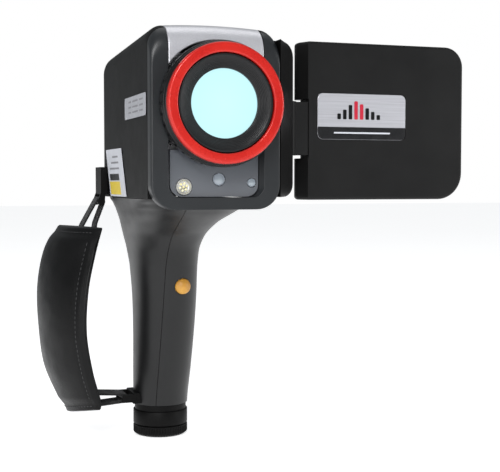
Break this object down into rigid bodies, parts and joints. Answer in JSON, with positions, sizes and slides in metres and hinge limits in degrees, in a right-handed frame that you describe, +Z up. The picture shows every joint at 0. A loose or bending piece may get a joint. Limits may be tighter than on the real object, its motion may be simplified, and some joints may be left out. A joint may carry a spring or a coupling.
{
  "type": "thermal imaging camera",
  "caption": "Pistol-grip thermal imaging camera with a large round lens, a front window, a flip-out tilting screen, a trigger button and a leather hand strap.",
  "frame": {"origin": "centre of the tripod socket's mouth, at the underside of the round base", "axes": "+X towards the screen side, -Y the way the lens looks, +Z up"},
  "size_m": [0.2158, 0.135, 0.2194],
  "materials": {
    "black_plastic": "fine moulded texture, satin black",
    "grey_plastic": "satin dark grey",
    "silver_paint": "satin silver paint",
    "red_anodised": "glossy red",
    "black_anodised": "black anodised, turned",
    "lens_coating": "coated germanium, pale cyan reflection",
    "smoked_window": "smoked polycarbonate",
    "clear_lens": "clear lens over a grey well",
    "steel": "plain",
    "circuit_board": "green board",
    "screen_glass": "dark glossy screen",
    "orange_rubber": "orange",
    "leather": "fine-grained black leather",
    "webbing": "black nylon webbing",
    "label": "printed foil, blank",
    "cell_wrap": "blue shrink wrap",
    "grey_key": "grey rubber"
  },
  "bodies": {
    "camera_body": {"front_bezel": "grey_plastic", "front_window": "smoked_window", "top_cover": "silver_paint", "right_side_cover": "black_plastic", "left_side_cover": "black_plastic", "rear_cover": "black_plastic", "grip_right_half": "black_plastic", "grip_left_half": "black_plastic", "chassis_plate": "steel", "lens_barrel": "black_anodised", "rear_lens": "clear_lens", "detector_module": "steel", "main_board": "circuit_board", "led_lamp": "clear_lens", "visible_camera": "clear_lens", "laser_pointer": "clear_lens", "hinge_pin": "steel", "trigger_switch": "grey_plastic", "battery_pack": "cell_wrap", "base_collar": "black_plastic", "upper_strap_lug": "black_plastic", "upper_webbing": "webbing", "strap_pad": "leather", "lower_webbing": "webbing", "lower_strap_lug": "black_plastic", "upper_side_label": "label", "lower_side_label": "label", "terminal_block": "grey_plastic", "door_pin": "steel", "rear_screw_1": "steel", "rear_screw_2": "steel", "rear_screw_3": "steel", "rear_screw_4": "steel"},
    "focus_ring": {"focus_ring": "black_anodised", "front_ring": "red_anodised"},
    "lens_cell": {"lens_cell": "black_anodised", "objective_lens": "lens_coating"},
    "screen_hinge": {"hinge_block": "black_plastic", "tilt_shaft": "steel"},
    "screen_panel": {"lcd_outer_cover": "black_plastic", "lcd_inner_frame": "black_plastic", "lcd_screen": "screen_glass", "lcd_board": "circuit_board", "name_plate": "silver_paint"},
    "trigger": {"trigger_button": "orange_rubber"},
    "battery_cap": {"battery_cap": "black_plastic", "tripod_insert": "steel", "contact_spring": "steel"},
    "enter_key": {"enter_key": "grey_key"},
    "menu_key": {"menu_key": "grey_key"},
    "freeze_key": {"freeze_key": "grey_key"},
    "record_key": {"record_key": "grey_key"},
    "zoom_key": {"zoom_key": "grey_key"},
    "terminal_door": {"terminal_door": "black_plastic"}
  },
  "joints": [
    {"name": "lcd_open", "type": "hinge", "parent": "camera_body", "child": "screen_hinge", "pos_m": [0.0477, -0.0722, 0.17], "axis": [0, 0, 1], "range_deg": [0, 90]},
    {"name": "lcd_tilt", "type": "hinge", "parent": "screen_hinge", "child": "screen_panel", "pos_m": [0.0562, -0.07, 0.17], "axis": [1, 0, 0], "range_deg": [-90, 180]},
    {"name": "focus_turn", "type": "hinge", "parent": "camera_body", "child": "focus_ring", "pos_m": [0.0071, -0.0919, 0.18], "axis": [0, 1, 0], "range_deg": [-60, 60]},
    {"name": "focus_shift", "type": "slide", "parent": "camera_body", "child": "lens_cell", "axis": [0, 1, 0], "range_m": [-0.0009, 0.0009]},
    {"name": "trigger_press", "type": "slide", "parent": "camera_body", "child": "trigger", "axis": [0, 1, 0], "range_m": [0, 0.0025], "stiffness_N_per_m": 400, "springref_m": -0.001},
    {"name": "battery_cap_turn", "type": "hinge", "parent": "camera_body", "child": "battery_cap", "pos_m": [0, 0, 0.006], "axis": [0, 0, 1], "range_deg": [0, 60]},
    {"name": "terminal_door_swing", "type": "hinge", "parent": "camera_body", "child": "terminal_door", "pos_m": [0.006, 0.026, 0.143], "axis": [-1, 0, 0], "range_deg": [0, 90]},
    {"name": "enter_key_press", "type": "slide", "parent": "camera_body", "child": "enter_key", "axis": [0, -1, 0], "range_m": [0, 0.0008], "stiffness_N_per_m": 600, "springref_m": -0.0005},
    {"name": "menu_key_press", "type": "slide", "parent": "camera_body", "child": "menu_key", "axis": [0, -1, 0], "range_m": [0, 0.0008], "stiffness_N_per_m": 600, "springref_m": -0.0005},
    {"name": "freeze_key_press", "type": "slide", "parent": "camera_body", "child": "freeze_key", "axis": [0, -1, 0], "range_m": [0, 0.0008], "stiffness_N_per_m": 600, "springref_m": -0.0005},
    {"name": "record_key_press", "type": "slide", "parent": "camera_body", "child": "record_key", "axis": [0, -1, 0], "range_m": [0, 0.0008], "stiffness_N_per_m": 600, "springref_m": -0.0005},
    {"name": "zoom_key_press", "type": "slide", "parent": "camera_body", "child": "zoom_key", "axis": [0, -1, 0], "range_m": [0, 0.0008], "stiffness_N_per_m": 600, "springref_m": -0.0005}
  ],
  "couplings": [
    {"joint": "focus_shift", "follows": "focus_turn", "m_per_rad": 0.0008}
  ]
}
